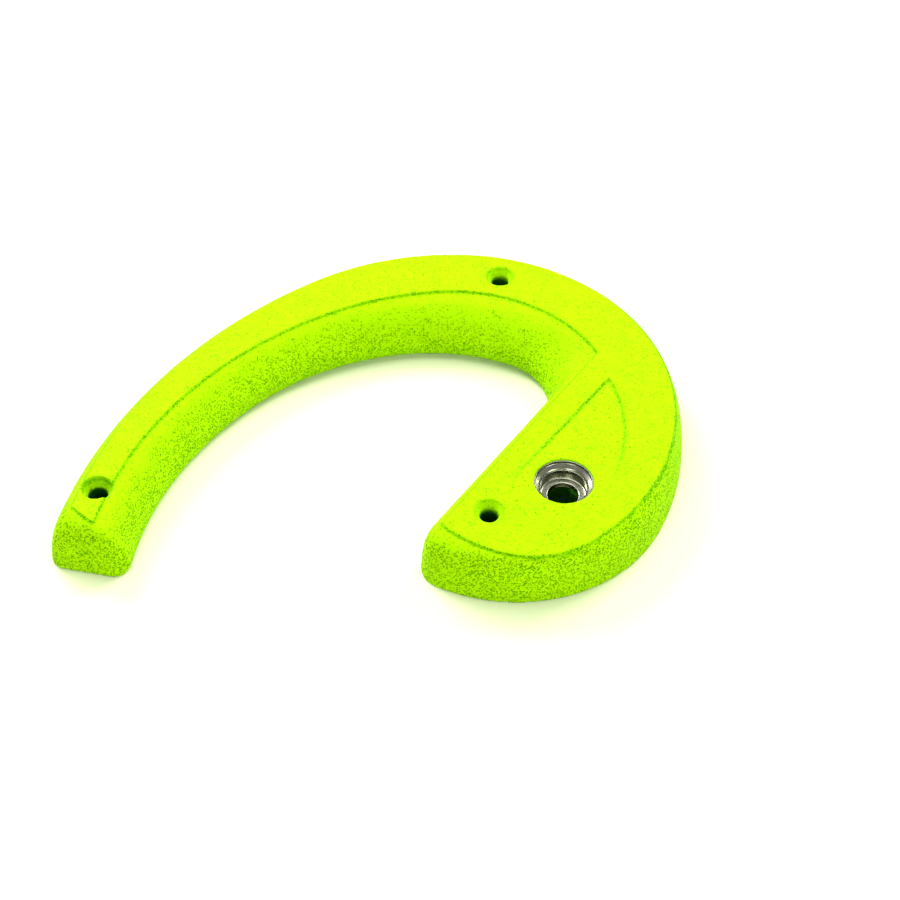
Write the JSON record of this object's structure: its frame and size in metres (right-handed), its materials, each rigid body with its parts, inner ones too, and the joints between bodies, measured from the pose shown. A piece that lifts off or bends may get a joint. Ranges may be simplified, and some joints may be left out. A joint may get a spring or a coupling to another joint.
{
  "type": "climbing hold",
  "caption": "Hook-shaped bolt-on climbing hold with a raised top face, a teardrop recess round its steel bolt seat and countersunk set-screw holes.",
  "frame": {"origin": "centre of the bolt hole in the flat back face that lies on the wall", "axes": "+Z along the bolt hole, out of the wall; the hook's arm ends towards -X and its open mouth faces -Y"},
  "size_m": [0.2256, 0.1637, 0.0205],
  "materials": {
    "polyurethane": "lime green cast polyurethane with a fine pitted skin",
    "steel": "turned and zinc plated steel"
  },
  "bodies": {
    "root": {"hold_body": "polyurethane", "bolt_collar": "steel", "bolt_seat": "steel"}
  },
  "joints": []
}
